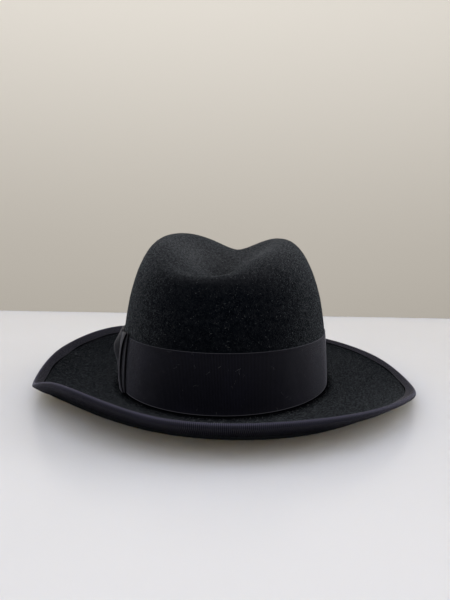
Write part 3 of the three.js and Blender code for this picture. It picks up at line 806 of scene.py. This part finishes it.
def ribbon_material(name, seed, dark, light, gloss, fuzz, relief):
    made, tree, shader = material(name)
    place = node(tree, "ShaderNodeTexCoord").outputs["Object"]
    shift = node(tree, "ShaderNodeVectorMath", operation="ADD")
    shift.inputs[1].default_value = (seed * 0.37, seed * 0.11, seed * 0.23)
    tree.links.new(place, shift.inputs[0])
    place = shift.outputs[0]
    broad = noise(tree, place, RIBBON_BROAD, 3, 0.5)
    fine = noise(tree, place, RIBBON_FINE, 3, 0.65, 0.4)
    thread = noise(tree, place, RIBBON_THREAD, 2, 0.6, 0.5)
    ribs, wear_and_painted_light = attribute(tree, "rib"), attribute(tree, "wear_and_painted_light")
    tone = mix(tree, spread(tree, fine, 0.35, 0.7), dark, light)
    faded = maths(tree, "MULTIPLY", spread(tree, broad, 0.45, 0.7), 0.3)
    tone = mix(tree, faded, tone, times(2.0, light))
    # painted shade in the grooves between the ribs, darker than the ribs' rounded tops
    tone = mix(tree, spread(tree, ribs, 0.85, 0.2), tone, times(0.25, dark))
    # painted shade where the value is low, underneath the binding and in the bow's folds, and pale on the
    # ribs where it is high, wear together with a painted highlight round the binding's edge
    tone = mix(tree, spread(tree, wear_and_painted_light, 0.9, 0.1), tone, times(0.35, dark))
    rubbed_and_highlit = mix(tree, spread(tree, ribs, 0.3, 0.9), dark, times(4.6, light))
    tone = mix(tree, spread(tree, wear_and_painted_light, 1.0, 1.5, 0.0, 0.6), tone, rubbed_and_highlit)
    woven_edge = spread(tree, attribute(tree, "selvage"), 0.3, 1.0)
    tone = mix(tree, maths(tree, "MULTIPLY", woven_edge, SELVAGE_SHARE), tone, SELVAGE)
    speck = maths(tree, "MULTIPLY", spread(tree, thread, 0.66, 0.74), 0.35)
    tone = mix(tree, speck, tone, times(6.0, light))
    tree.links.new(tone, shader.inputs["Base Color"])
    rough = spread(tree, fine, 0.3, 0.7, 0.5, 0.66)
    tree.links.new(rough, shader.inputs["Roughness"])
    shine = spread(tree, ribs, 0.2, 0.9, 1 - relief, 1 + 0.3 * relief)
    tree.links.new(maths(tree, "MULTIPLY", shine, gloss, wear_and_painted_light), shader.inputs["Specular IOR Level"])
    lit = spread(tree, ribs, 0.2, 0.9, 0.9 - 0.9 * relief, 1.0 + 0.2 * relief)
    tree.links.new(maths(tree, "MULTIPLY", lit, fuzz, wear_and_painted_light), shader.inputs["Sheen Weight"])
    shader.inputs["Sheen Roughness"].default_value = RIBBON_FUZZ_ROUGH
    shader.inputs["Sheen Tint"].default_value = RIBBON_TINT
    bump = node(tree, "ShaderNodeBump", Strength=0.4, Distance=0.0002)
    tree.links.new(thread, bump.inputs["Height"])
    tree.links.new(bump.outputs["Normal"], shader.inputs["Normal"])
    return made


def floor_material():
    """Pale table top, which lets light through it into the hat's shadow."""
    made, tree, shader = material("pale_table")
    place = node(tree, "ShaderNodeTexCoord").outputs["Object"]
    broad = noise(tree, place, 3.0, 2, 0.5)
    tone = mix(tree, spread(tree, broad, 0.3, 0.7), TABLE_DARK, TABLE_LIGHT)
    tree.links.new(tone, shader.inputs["Base Color"])
    shader.subsurface_method = "BURLEY"
    shader.inputs["Subsurface Weight"].default_value = FLOOR_GLOW
    shader.inputs["Subsurface Radius"].default_value = FLOOR_COLOURS
    shader.inputs["Subsurface Scale"].default_value = FLOOR_DEPTH
    shader.inputs["Roughness"].default_value = 0.25
    shader.inputs["Specular IOR Level"].default_value = 0.35
    return made


def backdrop_material():
    """Pale wall with painted light, a little lighter towards its top, by its own height."""
    made, tree, shader = material("pale_wall")
    place = node(tree, "ShaderNodeTexCoord").outputs["Generated"]
    parts = node(tree, "ShaderNodeSeparateXYZ")
    tree.links.new(place, parts.inputs[0])
    broad = noise(tree, place, 2.0, 2, 0.5)
    tone = mix(tree, spread(tree, parts.outputs["Z"], *WALL_SHADE), WALL_LOW, WALL_TOP)
    tone = mix(tree, maths(tree, "MULTIPLY", broad, 0.06), tone, WALL_PALE)
    tree.links.new(tone, shader.inputs["Base Color"])
    shader.inputs["Roughness"].default_value = 0.85
    return made


# Fuzz

NAP_HAIRS, FINE_NAP_HAIRS, LINT_FIBRES, BAND_FIBRES, FOOT_FIBRES = 40000, 28000, 7400, 150, 1700
NAP_SEED, FINE_NAP_SEED, LINT_SEED = 5, 6, 8
NAP_ON_CROWN, LINT_ON_CROWN, ON_TOP = 0.66, 0.6, 0.5
HAIR_LENGTH, HAIR_RISE, HAIR_RADIUS, HAIR_ROOT = (0.6, 1.5), (0.15, 0.6), (0.03, 0.05), 0.15
LINT_LONGEST, BAND_LINT_LONGEST, FOOT_LINT_LONGEST = 1.8, 4.2, 1.4
LINT_LIFT, LINT_RADIUS, LINT_BEND, LINT_STEPS = (0.05, 0.3), (0.018, 0.036), 0.35, 4
BAND_LINT_OFF, FOOT_REACH = 0.85, 17
THIRDS = (0, TAU / 3, 2 * TAU / 3)


def felt_spots(rng, count, crown_share):
    """Random places on the felt's outer face and the normals there."""
    on_crown = int(count * crown_share)
    angle = rng.uniform(0, TAU, on_crown)
    above_band = float(station_at(FOOT + BAND_W + 1))
    station = np.where(rng.random(on_crown) < ON_TOP, rng.uniform(0.55, 0.985, on_crown),
                       rng.uniform(above_band, 0.7, on_crown))
    p1, n1 = crown_place(angle, station)
    angle = rng.uniform(0, TAU, count - on_crown)
    out = BREAK + (reach_at(angle) - BINDING_W - BREAK - 0.6) * rng.uniform(0.02, 1, count - on_crown)
    p2, n2 = brim_place(angle, out)
    return np.concatenate([p1, p2]), np.concatenate([n1, n2])


def tangents(rng, normals):
    """A random direction along the face at each place."""
    loose = rng.normal(size=normals.shape)
    loose -= normals * (loose * normals).sum(1, keepdims=True)
    return loose / np.linalg.norm(loose, axis=1, keepdims=True)


def nap_object(name, count, seed):
    """Short hairs that stand up from the felt, each a thin spike rooted in it."""
    rng = np.random.default_rng(seed)
    spots, normals = felt_spots(rng, count, NAP_ON_CROWN)
    comb = tangents(rng, normals)
    side = np.cross(normals, comb)
    length = rng.uniform(*HAIR_LENGTH, count)[:, None]
    rise = rng.uniform(*HAIR_RISE, count)[:, None]
    tip = spots + (comb * np.sqrt(1 - rise ** 2) + normals * rise) * length
    radius = rng.uniform(*HAIR_RADIUS, count)[:, None]
    root = spots - normals * HAIR_ROOT
    base = [root + (comb * math.cos(t) + side * math.sin(t)) * radius for t in THIRDS]
    points = np.stack(base + [tip], 1)
    k = np.arange(count)[:, None] * 4
    sides = ((0, 2, 1), (0, 1, 3), (1, 2, 3), (2, 0, 3))
    faces = np.concatenate([k + np.array([corners]) for corners in sides])
    return make_object(name, points, [], faces)


def lint_object(name, spots, normals, seed, longest):
    """Pale fibres that lie on the hat, each a thin bent thread of triangular section."""
    rng = np.random.default_rng(seed)
    count = len(spots)
    comb = tangents(rng, normals)
    side = np.cross(normals, comb)
    length = longest * rng.uniform(0.2, 1.0, count) ** 1.6
    bend = rng.normal(0, LINT_BEND, count) * length
    lift = rng.uniform(*LINT_LIFT, count)
    radius = rng.uniform(*LINT_RADIUS, count)
    steps = LINT_STEPS
    corners = []
    for i in range(steps):
        t = i / (steps - 1) - 0.5
        centre = (spots + comb * (length * t)[:, None] + side * (bend * (4 * t * t - 0.5) / 2)[:, None]
                  + normals * (0.06 + lift * (1 - 4 * t * t))[:, None])
        narrow = (radius * (1 - 1.2 * t * t))[:, None]
        for q in THIRDS:
            corners.append(centre + (side * math.cos(q) + normals * math.sin(q)) * narrow)
    points = np.stack(corners, 1)
    k = np.arange(count)[:, None] * (3 * steps)
    quads = []
    for i in range(steps - 1):
        for j in range(3):
            a, b = 3 * i + j, 3 * i + (j + 1) % 3
            quads.append(k + np.array([[a, b, b + 3, a + 3]]))
    last = 3 * (steps - 1)
    ends = [k + np.array([[0, 2, 1]]), k + np.array([[last, last + 1, last + 2]])]
    return make_object(name, points, np.concatenate(quads), np.concatenate(ends))


# Put the pieces together

felt = felt_object()
band = band_object(BAND_RIBS, 6)
binding = binding_object(BINDING_RIBS, 4)
under = strip_object("bow_under_ribbon", UNDER_LEN, UNDER_LOW, UNDER_LIFT, UNDER_HOLLOW, 31)
over = strip_object("bow_over_ribbon", OVER_LEN, OVER_LOW, OVER_LIFT, OVER_HOLLOW, 32)
knot = knot_object()

nap = nap_object("felt_nap", NAP_HAIRS, NAP_SEED)
fine_nap = nap_object("felt_fine_nap", FINE_NAP_HAIRS, FINE_NAP_SEED)
lint_rng = np.random.default_rng(LINT_SEED)
lint_spots, lint_normals = felt_spots(lint_rng, LINT_FIBRES, LINT_ON_CROWN)
lint = lint_object("felt_lint", lint_spots, lint_normals, 9, LINT_LONGEST)
band_angle = lint_rng.uniform(0, TAU, BAND_FIBRES)
band_z = FOOT + lint_rng.uniform(1, BAND_W - 1, BAND_FIBRES)
band_spots, band_normals = crown_place(band_angle, station_at(band_z))
band_spots = band_spots + BAND_LINT_OFF * band_normals
band_lint = lint_object("band_lint", band_spots, band_normals, 10, BAND_LINT_LONGEST)
# more lint lies on the brim close to the band, where a brush doesn't reach
foot_angle = lint_rng.uniform(0, TAU, FOOT_FIBRES)
foot_out = BREAK + FOOT_REACH * lint_rng.random(FOOT_FIBRES) ** 1.5
foot_spots, foot_normals = brim_place(foot_angle, foot_out)
foot_lint = lint_object("foot_lint", foot_spots, foot_normals, 12, FOOT_LINT_LONGEST)

felt_look = felt_material()
nap_look = hair_material("felt_nap_hair", NAP_DARK, NAP_LIGHT)
lint_look = hair_material("pale_lint", LINT_DARK, LINT_LIGHT)
band_look = ribbon_material("grosgrain_band", 1, *BAND_LOOK)
bow_lit_look = ribbon_material("grosgrain_bow_painted_lighter", 2, *BOW_LIT_LOOK)
binding_look = ribbon_material("grosgrain_binding", 3, *BINDING_LOOK)

for piece, look, cad_node, slot in (
    (felt, felt_look, "felt_body", "felt"),
    (band, band_look, "crown_band", "band_ribbon"),
    (binding, binding_look, "brim_binding", "binding_ribbon"),
    (under, bow_lit_look, "bow_under_strip", "band_ribbon"),
    (over, bow_lit_look, "bow_over_strip", "band_ribbon"),
    (knot, bow_lit_look, "bow_knot", "band_ribbon"),
):
    piece.data.materials.append(look)
    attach(piece, "root")
    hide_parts(cad_node)
for piece, look, slot in (
    (nap, nap_look, "felt"),
    (fine_nap, nap_look, "felt"),
    (lint, lint_look, "felt"),
    (foot_lint, lint_look, "felt"),
    (band_lint, lint_look, "band_ribbon"),
):
    piece.data.materials.append(look)
    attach(piece, "root")

# Camera, in the photo's own axes: it looks along +Y from the hat's back, a little to its right
VIEW_TURN = math.radians(-9.91)
DISTANCE, HEIGHT, SIDE = 387.3, 118.2, -1.1
PITCH, ROLL = math.radians(7.48), math.radians(1.03)
FOCAL_PX, TALL_PX = 457.4, 600
back = Matrix.Rotation(-VIEW_TURN, 4, "Z")


def from_view(x, y, z):
    """A place in metres, from the photo's axes to the hat's."""
    return back @ Vector((x, y, z))


right = from_view(1, 0, 0)
ahead = from_view(0, math.cos(PITCH), -math.sin(PITCH))
up = from_view(0, math.sin(PITCH), math.cos(PITCH))
side_axis = right * math.cos(ROLL) + up * math.sin(ROLL)
up_axis = up * math.cos(ROLL) - right * math.sin(ROLL)
camera_data = bpy.data.cameras.new("camera")
camera = bpy.data.objects.new("camera", camera_data)
bpy.context.scene.collection.objects.link(camera)
camera_data.sensor_fit = "AUTO"
camera_data.sensor_width = 36.0
camera_data.lens = FOCAL_PX * camera_data.sensor_width / TALL_PX
place = from_view(SIDE * MM, -DISTANCE * MM, HEIGHT * MM)
camera.matrix_world = Matrix((
    (side_axis.x, up_axis.x, -ahead.x, place.x),
    (side_axis.y, up_axis.y, -ahead.y, place.y),
    (side_axis.z, up_axis.z, -ahead.z, place.z),
    (0, 0, 0, 1),
))
camera_data.clip_start = 0.01
bpy.context.scene.camera = camera


# Floor, wall and light

TABLE_BACK, ROOM = 0.335, 3.2
WALL_Y, WALL_WIDE, WALL_BOTTOM, WALL_HIGH = 1.25, 2.6, -0.9, 1.45


def flat(name, corners, look):
    """One flat face of the stage, from its four corners in the photo's axes."""
    thing = make_object(name, np.array([from_view(*c) for c in corners]) / MM, [[0, 1, 2, 3]])
    thing.data.materials.append(look)


flat("floor", ((-ROOM, -ROOM, 0), (ROOM, -ROOM, 0), (ROOM, TABLE_BACK, 0), (-ROOM, TABLE_BACK, 0)),
     floor_material())
flat("backdrop", ((-WALL_WIDE, WALL_Y, WALL_BOTTOM), (WALL_WIDE, WALL_Y, WALL_BOTTOM),
                  (WALL_WIDE, WALL_Y, WALL_HIGH), (-WALL_WIDE, WALL_Y, WALL_HIGH)), backdrop_material())

AIM = (0, 0, 0.05)
# Each lamp's place and size in metres, its power in watts, its colour and how wide it shines
CEILING = (-0.4, -0.9, 2.6), (2.6, 2.6), 42.5, (1.0, 0.99, 0.985), math.pi
RIGHT_LAMP = (2.1, 0.2, 1.3), (1.4, 1.4), 3.2, (1.0, 0.98, 0.96), math.radians(90)
SKY, SKY_COLOUR = 0.6, (0.95, 0.96, 1.0, 1)


def lamp(name, place, size, power, colour, wide):
    data = bpy.data.lights.new(name, "AREA")
    data.shape = "RECTANGLE"
    data.size, data.size_y = size
    data.energy = power
    data.color = colour
    data.spread = wide
    thing = bpy.data.objects.new(name, data)
    bpy.context.scene.collection.objects.link(thing)
    start, end = from_view(*place), from_view(*AIM)
    thing.location = start
    thing.rotation_euler = (end - start).to_track_quat("-Z", "Y").to_euler()


lamp("ceiling", *CEILING)
lamp("right_side", *RIGHT_LAMP)

world = bpy.data.worlds.new("world")
bpy.context.scene.world = world
world.use_nodes = True
world.node_tree.nodes["Background"].inputs[0].default_value = SKY_COLOUR
world.node_tree.nodes["Background"].inputs[1].default_value = SKY
bpy.context.scene.view_settings.view_transform = "Standard"
